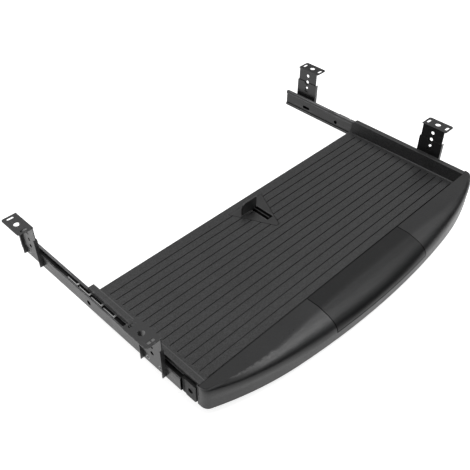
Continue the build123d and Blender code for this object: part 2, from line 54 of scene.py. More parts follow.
Named = dict[int | str, Any]
Value = Union["Wire", float]

# Places that several pieces share, in metres
DECK_Z = -0.0638
RIM_Z = -0.0451
RAIL_Z = -0.0659
BRACKET_Y = 0.1325
FIXED_WEB_X = 0.293

# How meshes are rounded and shaded
MERGE_DISTANCE = 1e-6
SAME_LEVEL = 1e-5
MERGE_ANGLE = math.radians(0.2)
FLAT_ANGLE = math.radians(20)
ROUNDED_ANGLE = math.radians(35)
SHARP_ANGLE = math.radians(40)
ROUND_STEPS = 2
ROUND_PROFILE = 0.5
WIDE_ROUND_STEPS = 4

# How finely small round pieces are drawn
POST_SIDES = 24
HEAD_RINGS = 9
THREAD_RINGS = 60
FLARE_RINGS = 6
PLAIN_RINGS = 3
BALL_SUBDIVISIONS = 4

# Colours that several finishes share
BLACK = (0.0, 0.0, 0.0)
WHITE = (1.0, 1.0, 1.0)
# The black in which shade is painted into seams and crevices
PAINTED_SHADE_BLACK = (0.002, 0.002, 0.002)
BARE_STEEL = (0.20, 0.20, 0.205)

# The middle of a noise pattern, and a line's solid and faded half widths as shares
MIDDLE = 0.5
LINE_SHARES = (0.6, 1.2)


class Signed(Enum):
    """A choice whose value is the sign of an axis."""

    @property
    def word(self) -> str:
        """The name as the nodes spell it."""
        return self.name.lower()


class Side(Signed):
    """The two sides of the tray, with the sign of X on each."""

    LEFT = -1
    RIGHT = 1


class Row(Signed):
    """The two rows of desk brackets, with the sign of Y on each."""

    FRONT = -1
    REAR = 1


class Body(Enum):
    """The bodies that move on their own."""

    BRACKETS = "desk_brackets"
    CARRIERS = "rail_carriers"
    TRAY = "sliding_tray"
    LEFT_CAGE = "left_ball_cage"
    RIGHT_CAGE = "right_ball_cage"


@dataclass(frozen=True)
class Wire:
    """A value that leaves a node; arithmetic on it adds Math nodes."""

    graph: "Graph"
    socket: bpy.types.NodeSocket

    def maths(self, operation: str, *others: Value, clamp: bool = False) -> "Wire":
        """Adds one Math node, with this value in its first socket.

        Args:
            operation: the Math node's operation.
            others: what goes into its other sockets.
            clamp: whether the result stays between 0 and 1.

        Returns:
            The node's value.
        """
        inputs = dict(enumerate((self, *others)))
        settings = {"operation": operation, "use_clamp": clamp}
        return self.graph.node("ShaderNodeMath", inputs, settings)[0]

    def __add__(self, other: Value) -> "Wire":
        """Sum."""
        return self.maths("ADD", other)

    __radd__ = __add__

    def __sub__(self, other: Value) -> "Wire":
        """Difference."""
        return self.maths("SUBTRACT", other)

    def __rsub__(self, other: float) -> "Wire":
        """Difference from a number."""
        return self * -1.0 + other

    def __mul__(self, other: Value) -> "Wire":
        """Product."""
        return self.maths("MULTIPLY", other)

    def __truediv__(self, other: Value) -> "Wire":
        """Quotient."""
        return self.maths("DIVIDE", other)

    def __pow__(self, other: float) -> "Wire":
        """Power."""
        return self.maths("POWER", other)

    def __abs__(self) -> "Wire":
        """Size without its sign."""
        return self.maths("ABSOLUTE")

    def most(self, other: Value) -> "Wire":
        """The larger of two values."""
        return self.maths("MAXIMUM", other)

    def swing(self) -> "Wire":
        """How far a noise pattern is from its middle."""
        return self - MIDDLE

    def ramp(self, start: float, end: float) -> "Wire":
        """Goes from 0 at start to 1 at end, clamped."""
        return (self - start).maths("MULTIPLY", 1.0 / (end - start), clamp=True)


@dataclass(frozen=True)
class Outputs:
    """The outputs of one node, by place or by name."""

    graph: "Graph"
    made: bpy.types.Node

    def __getitem__(self, key: int | str) -> Wire:
        """One output."""
        return Wire(self.graph, self.made.outputs[key])


@dataclass
class Graph:
    """A node tree that is filled in from Python."""

    tree: Tree

    def node(self, kind: str, inputs: Named | None = None, settings: Named | None = None) -> Outputs:
        """Adds one node.

        Args:
            kind: the node's type.
            inputs: a value, a wire or a list of wires for each socket, by place or by name.
            settings: its properties, which are set first.

        Returns:
            The node's outputs.
        """
        made = self.tree.nodes.new(kind)
        for key, value in (settings or {}).items():
            setattr(made, key, value)
        for key, given in (inputs or {}).items():
            for value in given if isinstance(given, list) else [given]:
                if isinstance(value, Wire):
                    self.tree.links.new(value.socket, made.inputs[key])
                else:
                    made.inputs[key].default_value = value
        return Outputs(self, made)

    def seen(self) -> Wire:
        """1 for rays of the camera, reflections and glass, 0 for rays of light."""
        path = self.node("ShaderNodeLightPath")
        return path["Is Camera Ray"].most(path["Is Glossy Ray"]).most(path["Is Transmission Ray"])


class Paint(Graph):
    """The node tree of one material, on the object's own coordinates."""

    def __init__(self, name: str) -> None:
        """Starts an empty material.

        Args:
            name: the material's name.
        """
        self.material = bpy.data.materials.new(name)
        self.material.use_nodes = True
        self.material.node_tree.nodes.clear()
        super().__init__(self.material.node_tree)
        self.place = self.node("ShaderNodeTexCoord")["Object"]
        parts = self.node("ShaderNodeSeparateXYZ", {0: self.place})
        self.x, self.y, self.z = parts[0], parts[1], parts[2]

    def noise(self, scale: float, detail: float, stretch: Triple = (1.0, 1.0, 1.0)) -> Wire:
        """Adds a noise pattern.

        Args:
            scale: cells per metre.
            detail: how many finer layers it has.
            stretch: how much the pattern is squeezed along each axis.

        Returns:
            The pattern, around 0.5.
        """
        moved = self.node("ShaderNodeMapping", {"Vector": self.place, "Scale": stretch})[0]
        inputs = {"Vector": moved, "Scale": scale, "Detail": detail}
        return self.node("ShaderNodeTexNoise", inputs)[0]

    def cells(self, scale: float) -> Wire:
        """A pattern of cells, with so many a metre: the distance from the nearest centre."""
        inputs = {"Vector": self.place, "Scale": scale}
        return self.node("ShaderNodeTexVoronoi", inputs)["Distance"]

    def mix(self, share: Value, low: Colour | Wire, high: Colour | Wire) -> Wire:
        """Mixes two colours.

        Args:
            share: 0 for the first colour, 1 for the second.
            low: the first colour.
            high: the second colour.

        Returns:
            The mixed colour.
        """
        factor, first, second, result = 0, 6, 7, 2
        ends = [c if isinstance(c, Wire) else opaque(c) for c in (low, high)]
        inputs = {factor: share, first: ends[0], second: ends[1]}
        return self.node("ShaderNodeMix", inputs, {"data_type": "RGBA"})[result]

    def bump(self, height: Wire, depth: float, strength: float = 0.5) -> Wire:
        """Turns a height into a normal; the depth is in metres."""
        inputs = {"Strength": strength, "Distance": depth, "Height": height}
        return self.node("ShaderNodeBump", inputs)[0]

    def line(self, distance: Wire, half_width: float) -> Wire:
        """1 on a soft-edged line, 0 off it, by the distance from its middle."""
        solid, faded = LINE_SHARES
        return 1 - abs(distance).ramp(half_width * solid, half_width * faded)

    def surface(
        self, colour: Wire | Colour, roughness: Value, seam: Wire | None = None, **sockets: Any
    ) -> None:
        """Ends the tree in one Principled shader, or in a mix of it with painted shade as black
        diffuse.

        Args:
            colour: the base colour.
            roughness: the roughness.
            seam: 1 where shade is painted into a seam or a crevice, as black diffuse.
            sockets: other sockets, with underscores for spaces.
        """
        base = colour if isinstance(colour, Wire) else opaque(colour)
        inputs = {"Base Color": base, "Roughness": roughness}
        inputs.update({key.replace("_", " "): value for key, value in sockets.items()})
        shader = self.node("ShaderNodeBsdfPrincipled", inputs)[0]
        # Painted shade: a black diffuse shader mixed in where seam is 1
        if seam is not None:
            dark = self.node("ShaderNodeBsdfDiffuse", {"Color": opaque(PAINTED_SHADE_BLACK)})[0]
            inputs = dict(enumerate((seam, shader, dark)))
            shader = self.node("ShaderNodeMixShader", inputs)[0]
        self.node("ShaderNodeOutputMaterial", {"Surface": shader})


def opaque(colour: Colour) -> tuple[float, ...]:
    """A colour as a socket takes it."""
    return (*colour, 1.0)


def shade(colour: Colour, amount: float) -> Colour:
    """A colour made lighter or darker by a factor."""
    return tuple(min(1.0, c * amount) for c in colour)


@dataclass(frozen=True)
class Speckle:
    """A noise pattern, and the two values between which its patches fade in."""

    scale: float
    detail: float = 2.0
    stretch: Triple = (1.0, 1.0, 1.0)
    fade: Pair = (0.3, 0.7)

    def noise(self, paint: Paint) -> Wire:
        """The pattern itself."""
        return paint.noise(self.scale, self.detail, self.stretch)

    def patches(self, paint: Paint) -> Wire:
        """Its high parts: 1 in a patch, 0 outside."""
        return self.noise(paint).ramp(*self.fade)


@dataclass(frozen=True)
class Finish:
    """One plain colour, and what every finish has, with the record's slot where it has one."""

    name: str
    colour: Colour
    roughness: float
    slot: str = ""

    def make(self) -> bpy.types.Material:
        """Builds the material the first time, and returns it every time.

        Returns:
            The material.
        """
        found = bpy.data.materials.get(self.name)
        if found is None:
            paint = Paint(self.name)
            self.fill(paint)
            found = paint.material
        return found

    def fill(self, paint: Paint) -> None:
        """Fills the node tree; a finish with more to show has its own way."""
        paint.surface(self.colour, self.roughness)


@dataclass(frozen=True)
class MouldedPlastic(Finish):
    """Black moulded plastic with a fine spark-eroded grain and slight handling marks."""

    grain: float = 0.0006
    grain_depth: float = 0.00012
    grain_rough = 0.16
    coarse_share = 0.3
    coarse_height = 1.5
    coarse_rough = 0.22
    pit_share = 0.6
    pit_height = 0.5
    pebble_share = 0.42
    pebble_fade = (0.35, 0.65)
    pebble: float = 0.2
    mottle = 0.30
    shine: float = 0.5
    dust = (0.045, 0.045, 0.046)
    dust_cover = 0.5
    # The light grey in which the subclasses paint highlights and sheen
    rubbed = (0.10, 0.10, 0.101)
    rub_rough = 0.07
    clouds = Speckle(14.0, 3.0)
    specks = Speckle(900.0, 1.0, fade=(0.68, 0.78))
    rubs = Speckle(60.0, 4.0, (0.15, 1.0, 1.0), (0.45, 0.75))

    def tint(self, paint: Paint) -> Wire:
        """The plastic's colour, a little cloudy, pebbled and with a few dust specks.

        Args:
            paint: the tree.

        Returns:
            The colour.
        """
        cloud = self.clouds.patches(paint)
        pebbles = paint.noise(self.pebble_share / self.grain, 1.0).ramp(*self.pebble_fade)
        change = cloud.swing() * self.mottle + pebbles.swing() * self.pebble + MIDDLE
        base = paint.mix(change, BLACK, shade(self.colour, 1 / MIDDLE))
        return paint.mix(self.specks.patches(paint) * self.dust_cover, base, self.dust)

    def seam(self, paint: Paint) -> Wire | None:
        """Where shade is painted into seams; plain pieces have none."""
        return None

    def fill(self, paint: Paint) -> None:
        """Grain in the bump and the roughness, and long faint rub marks.

        Args:
            paint: the tree.
        """
        grain = paint.noise(1 / self.grain, 2.0)
        coarse = paint.noise(self.coarse_share / self.grain, 1.0)
        pits = paint.cells(self.pit_share / self.grain)
        rough = self.roughness + grain.swing() * self.grain_rough
        rough = rough + coarse.swing() * self.coarse_rough
        rough = rough - self.rubs.patches(paint) * self.rub_rough
        height = grain + pits * self.pit_height + coarse * self.coarse_height
        normal = paint.bump(height, self.grain_depth)
        extras = {"Normal": normal, "Specular_IOR_Level": self.shine}
        paint.surface(self.tint(paint), rough, self.seam(paint), **extras)


@dataclass(frozen=True)
class DeckPlastic(MouldedPlastic):
    """The tray's plastic, with painted shade on the floors of the deck's grooves and painted
    highlights on its rims.
    """

    first_y = -0.1953
    pitch = 0.0135
    count = 15
    row_fade = (0.3, 0.4)
    side_fade = (0.0007, 0.0011)
    floor_fade = (0.0001, 0.0004)
    lower_fade = (-0.003, -0.002)
    # Painted shade on the grooves' floors: its colour, its cover, and the share of black diffuse
    floor_shade = 0.22
    floor_cover = 0.75
    dirt = 0.95
    # Painted sheen on the lands, growing towards the right
    wear = 0.08
    wear_fade = (-0.17, 0.20)
    # Painted highlights along the rims' edges and on their tops
    rim_edges = (0.2795, 0.2866)
    rim_line = 0.0008
    rim_fade = (-0.0012, -0.0004)
    rim_rubs = (0.55, 0.35, 0.12)

    def tint(self, paint: Paint) -> Wire:
        """The plastic's colour: painted highlights on rims, painted sheen to the right, painted
        shade in grooves.

        Args:
            paint: the tree.

        Returns:
            The colour.
        """
        # Painted highlights along the rims' inner and outer edges and on their tops
        inner, outer = (paint.line(abs(paint.x) - edge, self.rim_line) for edge in self.rim_edges)
        top = (paint.z - RIM_Z).ramp(*self.rim_fade)
        inner_highlight, outer_highlight, top_highlight = self.rim_rubs
        # rub holds the painted highlight on the rims
        rub = top * (inner * inner_highlight).most(outer * outer_highlight).most(top_highlight)
        # Painted sheen on the lands towards the right
        base = paint.mix(self.worn(paint) * self.wear, super().tint(paint), self.rubbed)
        # Painted shade on the grooves' floors
        floor = shade(self.colour, self.floor_shade)
        grooved = paint.mix(self.groove(paint) * self.floor_cover, base, floor)
        return paint.mix(rub, grooved, self.rubbed)

    def seam(self, paint: Paint) -> Wire:
        """Painted shade on the grooves' floors, darker towards the right."""
        return self.groove(paint) * self.worn(paint) * self.dirt

    def worn(self, paint: Paint) -> Wire:
        """How strong the painted sheen and the grooves' painted shade are: 0 at the deck's left, 1
        at its right.
        """
        return paint.x.ramp(*self.wear_fade)

    def groove(self, paint: Paint) -> Wire:
        """Finds the grooves.

        Args:
            paint: the tree.

        Returns:
            1 on the floor of a groove, 0 elsewhere.
        """
        step = (paint.y - self.first_y) / self.pitch
        across = abs(step - step.maths("ROUND")) * self.pitch
        near, far = self.row_fade
        last = self.count - 1
        within = step.ramp(-far, -near) * (1 - step.ramp(last + near, last + far))
        above = (paint.z - DECK_Z).ramp(*self.lower_fade)
        low = (DECK_Z - paint.z).ramp(*self.floor_fade) * above
        return (1 - across.ramp(*self.side_fade)) * within * low


@dataclass(frozen=True)
class PalmPlastic(MouldedPlastic):
    """The palm rest's plastic, with painted shade along the seams round the grip and behind the
    rest.
    """

    # Where shade is painted into the seams behind the rest, beside the grip and under it
    back_y = -0.206
    back_fade = (0.0, 0.0005)
    lip_z = -0.0678
    lip_fade = (-0.001, 0.0)
    grip_half = 0.0997
    seam_half = 0.0006
    back_share = 0.8
    under_share = 1.4
    # Painted highlight along the crown's corners
    crease_z = -0.0463
    crease_half = 0.0010
    crease_fade = (0.001, 0.004)
    crease_rub = 0.8
    corner_fade = (0.262, 0.282)
    # Painted sheen on the right of the rest
    wear = 0.08
    wear_fade = (0.10, 0.26)

    def tint(self, paint: Paint) -> Wire:
        """The plastic's colour, with painted sheen on the right and a painted highlight along the
        crown's two corners.

        Args:
            paint: the tree.

        Returns:
            The colour.
        """
        # Painted highlight along the crown's corners
        edge = paint.line(paint.z - self.crease_z, self.crease_half)
        edge = edge * abs(paint.x).ramp(*self.corner_fade)
        edge = edge * (self.back_y - paint.y).ramp(*self.crease_fade)
        # Painted sheen towards the right
        worn = paint.x.ramp(*self.wear_fade) * self.wear
        return paint.mix((edge * self.crease_rub).most(worn), super().tint(paint), self.rubbed)

    def seam(self, paint: Paint) -> Wire:
        """Painted shade in lines behind the rest, across it beside the grip, and under the grip.

        Args:
            paint: the tree.

        Returns:
            1 where shade is painted into a seam, 0 elsewhere.
        """
        behind = paint.line(paint.y - self.back_y, self.seam_half * self.back_share)
        behind = behind * (paint.z - DECK_Z).ramp(*self.back_fade)
        beside = paint.line(abs(paint.x) - self.grip_half, self.seam_half)
        beside = beside * (paint.z - self.lip_z).ramp(*self.lip_fade)
        under = paint.line(paint.z - self.lip_z, self.seam_half * self.under_share)
        under = under * (self.grip_half - abs(paint.x)).ramp(*self.lip_fade)
        return behind.most(beside).most(under)


@dataclass(frozen=True)
class ClipPlastic(MouldedPlastic):
    """The cable clip's plastic, with painted shade round its wedge-shaped plate and in its slot."""

    middle_x = -0.003
    nose_y = -0.0684
    nose_half = 0.003
    spread = 0.4898
    # Painted shade along the plate's edges
    seam_half = 0.0006
    seam_depth = 0.001
    # Painted sheen on the hook
    hook_fade = (0.0008, 0.004)
    hook_rub = 0.2
    slot_x = 0.0005
    slot_y = -0.0329
    slot_half = (0.0062, 0.0167)
    slot_end_fade = (0.0, 0.001)
    # Painted highlights along the slot's lips
    lip_half = 0.0012
    lip_rub = 0.6
    # Painted shade on the slot's walls
    wall_fade = (0.0, 0.0001)
    wall_depth = (0.0004, 0.0012)
    wall_dark = 0.9
    # Patches that break up the painted sheen and highlights
    scuffs = Speckle(200.0, 3.0, fade=(0.40, 0.60))

    def tint(self, paint: Paint) -> Wire:
        """The plastic's colour, with a painted sheen on the hook and painted highlights along the
        slot, both in patches.

        Args:
            paint: the tree.

        Returns:
            The colour.
        """
        wide, long = self.slot_half
        # Painted sheen on the hook and painted highlights along the slot's lips
        hook = (paint.z - DECK_Z).ramp(*self.hook_fade) * self.hook_rub
        lips = paint.line(abs(paint.x - self.slot_x) - wide, self.lip_half)
        lips = lips * (long - abs(paint.y - self.slot_y)).ramp(*self.slot_end_fade)
        sheen_patchiness = self.scuffs.patches(paint) * MIDDLE + MIDDLE
        return paint.mix(hook.most(lips * self.lip_rub) * sheen_patchiness, super().tint(paint), self.rubbed)

    def seam(self, paint: Paint) -> Wire:
        """Painted shade along the plate's two long edges and its nose, and on the walls of the cable
        slot.

        Args:
            paint: the tree.

        Returns:
            1 where the painted shade is darkest, 0 elsewhere.
        """
        wide, long = self.slot_half
        along = paint.y - self.nose_y
        aside = abs(paint.x - self.middle_x) - self.nose_half - along * self.spread
        # Painted shade along the plate's edges
        edges = paint.line(aside, self.seam_half).most(paint.line(along, self.seam_half))
        # Painted shade on the slot's walls
        across = (wide - abs(paint.x - self.slot_x)).ramp(*self.wall_fade)
        within = across * (long - abs(paint.y - self.slot_y)).ramp(*self.wall_fade)
        walls = within * (DECK_Z - paint.z).ramp(*self.wall_depth) * self.wall_dark
        return walls.most(edges * paint.line(paint.z - DECK_Z, self.seam_depth))


@dataclass(frozen=True)
class PowderCoat(Finish):
    """Satin black powder coat on bent sheet, thin and rubbed along the edges."""

    metal = 0.15
    half_length = 0.0223
    outer_x = 0.319
    rim_fade = (0.0002, 0.0014)
    tones = (0.88, 1.12)
    worn_cover = 0.5
    worn_rough = 0.08
    scratch_cover = 0.14
    peel_bump = (0.0002, 0.35)
    peel_rough = 0.12
    peel = Speckle(1100.0)
    clouds = Speckle(25.0, 3.0)
    chips = Speckle(420.0, 3.0, fade=(0.50, 0.62))
    scratches = Speckle(240.0, 3.0, (1.0, 0.08, 0.5), (0.66, 0.72))

    def fill(self, paint: Paint) -> None:
        """Orange peel, light rub along the flanges' edges, small scratches.

        Args:
            paint: the tree.
        """
        from_side = self.half_length - abs(abs(paint.y) - BRACKET_Y)
        from_end = self.outer_x - abs(paint.x)
        rim = 1 - from_side.maths("MINIMUM", from_end).ramp(*self.rim_fade)
        worn = rim * self.chips.patches(paint)
        dark, light = (shade(self.colour, tone) for tone in self.tones)
        base = paint.mix(self.clouds.patches(paint), dark, light)
        bare = worn * self.worn_cover + self.scratches.patches(paint) * self.scratch_cover
        colour = paint.mix(bare, base, BARE_STEEL)
        peel = self.peel.noise(paint)
        rough = self.roughness + peel.swing() * self.peel_rough - worn * self.worn_rough
        normal = paint.bump(peel, *self.peel_bump)
        paint.surface(colour, rough, Metallic=self.metal, Normal=normal)


@dataclass(frozen=True)
class RailCoat(Finish):
    """Smooth black coat on rolled steel, with faint lines along the rolling direction."""

    metal = 0.15
    half_height: float = 0.0121
    web_height = 0.0108
    bend_line = 0.0007
    step_line = 0.0004
    flange_fade = (-0.0006, -0.0002)
    track_end: float = 0.0
    track_fade = (0.0, 0.0005)
    # Painted shade on the fixed rail's tracks, mixed in as black diffuse
    grease = 0.88
    tones = (0.6, 1.4)
    grit_share = 0.4
    rub_cover = 0.35
    # Painted highlight along the bends, as bare steel, and painted sheen on the flanges' tops
    worn_cover = 0.8
    flange_cover = 0.25
    line_rough = 0.14
    cloud_rough = 0.24
    rub_rough = 0.06
    line_bump = (0.00006, 0.4)
    lines = Speckle(1500.0, stretch=(1.0, 0.012, 1.0))
    clouds = Speckle(130.0, 4.0, (1.0, 0.5, 1.0))
    grit = Speckle(620.0, fade=(0.35, 0.65))
    rubs = Speckle(300.0, 3.0, (1.0, 0.05, 1.0), (0.58, 0.70))
    # Patches of painted highlight along the bends
    wear = Speckle(90.0, 3.0, (1.0, 0.3, 1.0), (0.38, 0.55))

    def fill(self, paint: Paint) -> None:
        """Rolling lines, small rubs, painted highlights on the bends and flanges, and painted shade
        on the tracks.

        Args:
            paint: the tree.
        """
        lines = self.lines.noise(paint)
        cloud = self.clouds.noise(paint)
        rub = self.rubs.patches(paint)
        grit = self.grit.patches(paint) * self.grit_share
        mottle = cloud.ramp(*self.clouds.fade) * (1 - self.grit_share) + grit
        dark, light = (shade(self.colour, tone) for tone in self.tones)
        base = paint.mix(mottle, dark, light)
        from_centre = abs(paint.z - RAIL_Z)
        bends = paint.line(from_centre - self.half_height, self.bend_line)
        steps = paint.line(from_centre - self.web_height, self.step_line)
        # Painted highlights along the bends and the web's step, as bare steel
        worn = bends.most(steps) * self.wear.patches(paint)
        # The flanges' tops, which get painted sheen, and painted shade on the tracks
        flange = (from_centre - self.half_height).ramp(*self.flange_fade)
        bare = (rub * self.rub_cover).most(worn * self.worn_cover).most(flange * self.flange_cover)
        colour = paint.mix(bare, base, BARE_STEEL)
        rough = self.roughness + lines.swing() * self.line_rough
        rough = rough + cloud.swing() * self.cloud_rough - rub * self.rub_rough
        normal = paint.bump(lines, *self.line_bump)
        # Painted shade on the tracks, as black diffuse
        track = (self.track_end - abs(paint.x)).ramp(*self.track_fade)
        grease = flange * self.grease * track
        paint.surface(colour, rough, grease, Metallic=self.metal, Normal=normal)


@dataclass(frozen=True)
class ZincPlate(Finish):
    """Bright zinc on small steel pieces."""

    dull = 0.72
    cloud_rough = 0.25
    line_rough = 0.1
    line_bump = (0.00003, 0.3)
    lines = Speckle(2600.0, stretch=(1.0, 0.15, 1.0))
    clouds = Speckle(350.0, 3.0)

    def fill(self, paint: Paint) -> None:
        """Cloudy passivation over a fine machined line.

        Args:
            paint: the tree.
        """
        lines = self.lines.noise(paint)
        cloud = self.clouds.noise(paint)
        smoky = cloud.ramp(*self.clouds.fade)
        colour = paint.mix(smoky, self.colour, shade(self.colour, self.dull))
        rough = self.roughness + cloud.swing() * self.cloud_rough + lines.swing() * self.line_rough
        normal = paint.bump(lines, *self.line_bump)
        paint.surface(colour, rough, Metallic=1.0, Normal=normal)


@dataclass(frozen=True)
class GreasedSteel(Finish):
    """Polished bearing steel with a film of grease."""

    grease = (0.42, 0.38, 0.30)
    cover = 0.5
    smear_rough = 0.18
    smears = Speckle(700.0, fade=(0.42, 0.62))

    def fill(self, paint: Paint) -> None:
        """Clean and smeared patches.

        Args:
            paint: the tree.
        """
        smear = self.smears.patches(paint)
        colour = paint.mix(smear * self.cover, self.colour, self.grease)
        paint.surface(colour, self.roughness + smear * self.smear_rough, Metallic=1.0)


@dataclass(frozen=True)
class BlackRubber(Finish):
    """Dull rubber with a chalky bloom."""

    chalk = 2.6
    cover = 0.4
    pebble_rough = 0.1
    pebble_depth = 0.0001
    pebbles = Speckle(1800.0)
    bloom = Speckle(160.0, 3.0, fade=(0.5, 0.75))

    def fill(self, paint: Paint) -> None:
        """Bloom in patches and a fine pebble.

        Args:
            paint: the tree.
        """
        pebble = self.pebbles.noise(paint)
        bloom = self.bloom.patches(paint) * self.cover
        colour = paint.mix(bloom, self.colour, shade(self.colour, self.chalk))
        rough = self.roughness + pebble.swing() * self.pebble_rough
        paint.surface(colour, rough, Normal=paint.bump(pebble, self.pebble_depth))


PLASTIC, STEEL = "black_plastic", "dark_rail_steel"
DECK_LOOK = {"shine": 0.55, "pebble": 1.2, "grain_depth": 0.0003}
GRIP_LOOK = {"shine": 0.27, "grain": 0.0004}
DECK = DeckPlastic("deck_plastic", (0.0130, 0.0131, 0.0137), 0.38, PLASTIC, **DECK_LOOK)
PALM = PalmPlastic("palm_plastic", (0.0085, 0.0086, 0.0091), 0.38, PLASTIC, shine=0.42)
GRIP = PalmPlastic(
    "grip_plastic_smooth", (0.0050, 0.0051, 0.0054), 0.38, "grip_plastic", **GRIP_LOOK
)
CLIP = ClipPlastic("clip_plastic_smooth", (0.012, 0.012, 0.0125), 0.36, "clip_plastic", grain=0.0009)
BLOCK = MouldedPlastic("stop_block_plastic", (0.0060, 0.0060, 0.0063), 0.48, PLASTIC, shine=0.22)
COAT = PowderCoat("bracket_powder_coat", (0.030, 0.030, 0.0307), 0.34, "black_painted_steel")
RAIL = RailCoat("rail_coat", (0.016, 0.016, 0.0168), 0.30, STEEL, track_end=FIXED_WEB_X)
SLIDER = RailCoat("sliding_rail_coat", (0.014, 0.014, 0.0147), 0.32, STEEL, half_height=0.0151)
ZINC = ZincPlate("zinc_plate", (0.40, 0.405, 0.41), 0.32, "zinc_plated_steel")
CAGE = ZincPlate("greasy_cage_zinc", (0.44, 0.44, 0.44), 0.28)
BLACK_SCREW = ZincPlate("black_screw_plate", (0.045, 0.045, 0.047), 0.40)
BALL = GreasedSteel("greased_ball_steel", (0.72, 0.72, 0.74), 0.12, "ball_steel")
RUBBER = BlackRubber("bumper_rubber", (0.006, 0.006, 0.006), 0.80, "black_rubber")
WALL = Finish("wall_grey", (0.03, 0.03, 0.03), 0.9)


def link(name: str, data: bpy.types.ID) -> Piece:
    """Puts a mesh, lamp or camera into the scene as an object at the origin.

    Args:
        name: the object's name.
        data: the mesh, lamp or camera.

    Returns:
        The object.
    """
    piece = bpy.data.objects.new(name, data)
    bpy.context.scene.collection.objects.link(piece)
    return piece


def bake(piece: Piece) -> None:
    """Turns a piece and its modifiers into one plain mesh.

    Args:
        piece: the piece.
    """
    bpy.context.view_layer.update()
    graph = bpy.context.evaluated_depsgraph_get()
    done = bpy.data.meshes.new_from_object(piece.evaluated_get(graph))
    piece.modifiers.clear()
    piece.data = done


def smooth(piece: Piece) -> None:
    """Shades a piece smooth, except across its sharp edges."""
    piece.data.shade_smooth()
    piece.data.set_sharp_from_angle(angle=SHARP_ANGLE)


def dress(piece: Piece, finish: Finish) -> Piece:
    """Gives a piece one finish all over.

    Args:
        piece: the piece.
        finish: what it is made of.

    Returns:
        The piece.
    """
    piece.data.materials.clear()
    piece.data.materials.append(finish.make())
    return piece


def settle(piece: Piece, node: str, finish: Finish, body: Body) -> Piece:
    """Dresses a finished piece and puts it on its body.

    Args:
        piece: the new piece.
        node: the CAD node that it stands for.
        finish: what it is made of.
        body: the body that it moves with.

    Returns:
        The piece.
    """
    dress(piece, finish)
    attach(piece, body.value)
    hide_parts(node)
    return piece


@dataclass(frozen=True)
class WideEdges:
    """Long edges at one height that are rounded more than the rest of a piece."""

    level: float
    width: float
    from_middle: float = 0.0
    least_length: float = 0.02

    def takes(self, edge: bmesh.types.BMEdge) -> bool:
        """Whether an edge is one of them.

        Args:
            edge: the edge.

        Returns:
            True where it is rounded more.
        """
        level = all(abs(v.co.z - self.level) < SAME_LEVEL for v in edge.verts)
        aside = all(abs(v.co.x) >= self.from_middle for v in edge.verts)
        sharp = edge.calc_face_angle(0.0) >= FLAT_ANGLE
        return level and aside and sharp and edge.calc_length() > self.least_length

    def round(self, work: bmesh.types.BMesh) -> None:
        """Rounds them in a mesh."""
        bmesh.ops.bevel(
            work,
            geom=[edge for edge in work.edges if self.takes(edge)],
            offset=self.width,
            segments=WIDE_ROUND_STEPS,
            profile=ROUND_PROFILE,
            affect="EDGES",
            clamp_overlap=True,
        )


def softened(
    node: str, finish: Finish, width: float, body: Body = Body.TRAY, wide: tuple[WideEdges, ...] = ()
) -> Piece:
    """Replaces a CAD node by a copy whose sharp edges are rounded.

    Args:
        node: the CAD node.
        finish: what it is made of.
        width: how wide the rounding is, in metres.
        body: the body that it moves with.
        wide: the edges that are rounded more.

    Returns:
        The new piece.
    """
    mesh = NODES[node].data.copy()
    work = bmesh.new()
    work.from_mesh(mesh)
    bmesh.ops.remove_doubles(work, verts=work.verts, dist=MERGE_DISTANCE)
    bmesh.ops.dissolve_limit(work, angle_limit=MERGE_ANGLE, verts=work.verts, edges=work.edges)
    for group in wide:
        group.round(work)
    work.to_mesh(mesh)
    work.free()
    piece = link(node + "_finished", mesh)
    bevel = piece.modifiers.new("round", "BEVEL")
    bevel.width = width
    bevel.segments = ROUND_STEPS
    bevel.limit_method = "ANGLE"
    bevel.angle_limit = ROUNDED_ANGLE
    bevel.use_clamp_overlap = True
    bake(piece)
    smooth(piece)
    even = piece.modifiers.new("even", "WEIGHTED_NORMAL")
    even.keep_sharp = True
    bake(piece)
    return settle(piece, node, finish, body)


# The inputs of a tree have the names of the sizes, and sockets of these kinds
SOCKETS = {Triple: "NodeSocketVector", int: "NodeSocketInt", float: "NodeSocketFloat"}


@dataclass(frozen=True)
class Layout:
    """Where the pieces of a set stand: in a row, and the row again at each row step."""

    start: Triple
    step: Triple
    count: int
    row_step: Triple = (0.0, 0.0, 0.0)
    rows: int = 1
    turn: Triple = (0.0, 0.0, 0.0)


@dataclass(frozen=True)
class PanScrew:
    """A pan-head screw with a cross recess and a ringed shank."""

    shank_length: float
    shank_radius: float = 0.00195
    head_radius: float = 0.0036
    head_height: float = 0.0018
    recess: float = 0.0009


@dataclass(frozen=True)
class Rivet:
    """A rivet with a domed head, a shank and a flush flared end."""

    grip: float = 0.0022
    shank_radius: float = 0.002
    head_radius: float = 0.0036
    head_height: float = 0.0011
    flare_radius: float = 0.0032
    flare_height: float = 0.0012


@dataclass(frozen=True)
class Ball:
    """A bearing ball."""

    radius: float = 0.00125


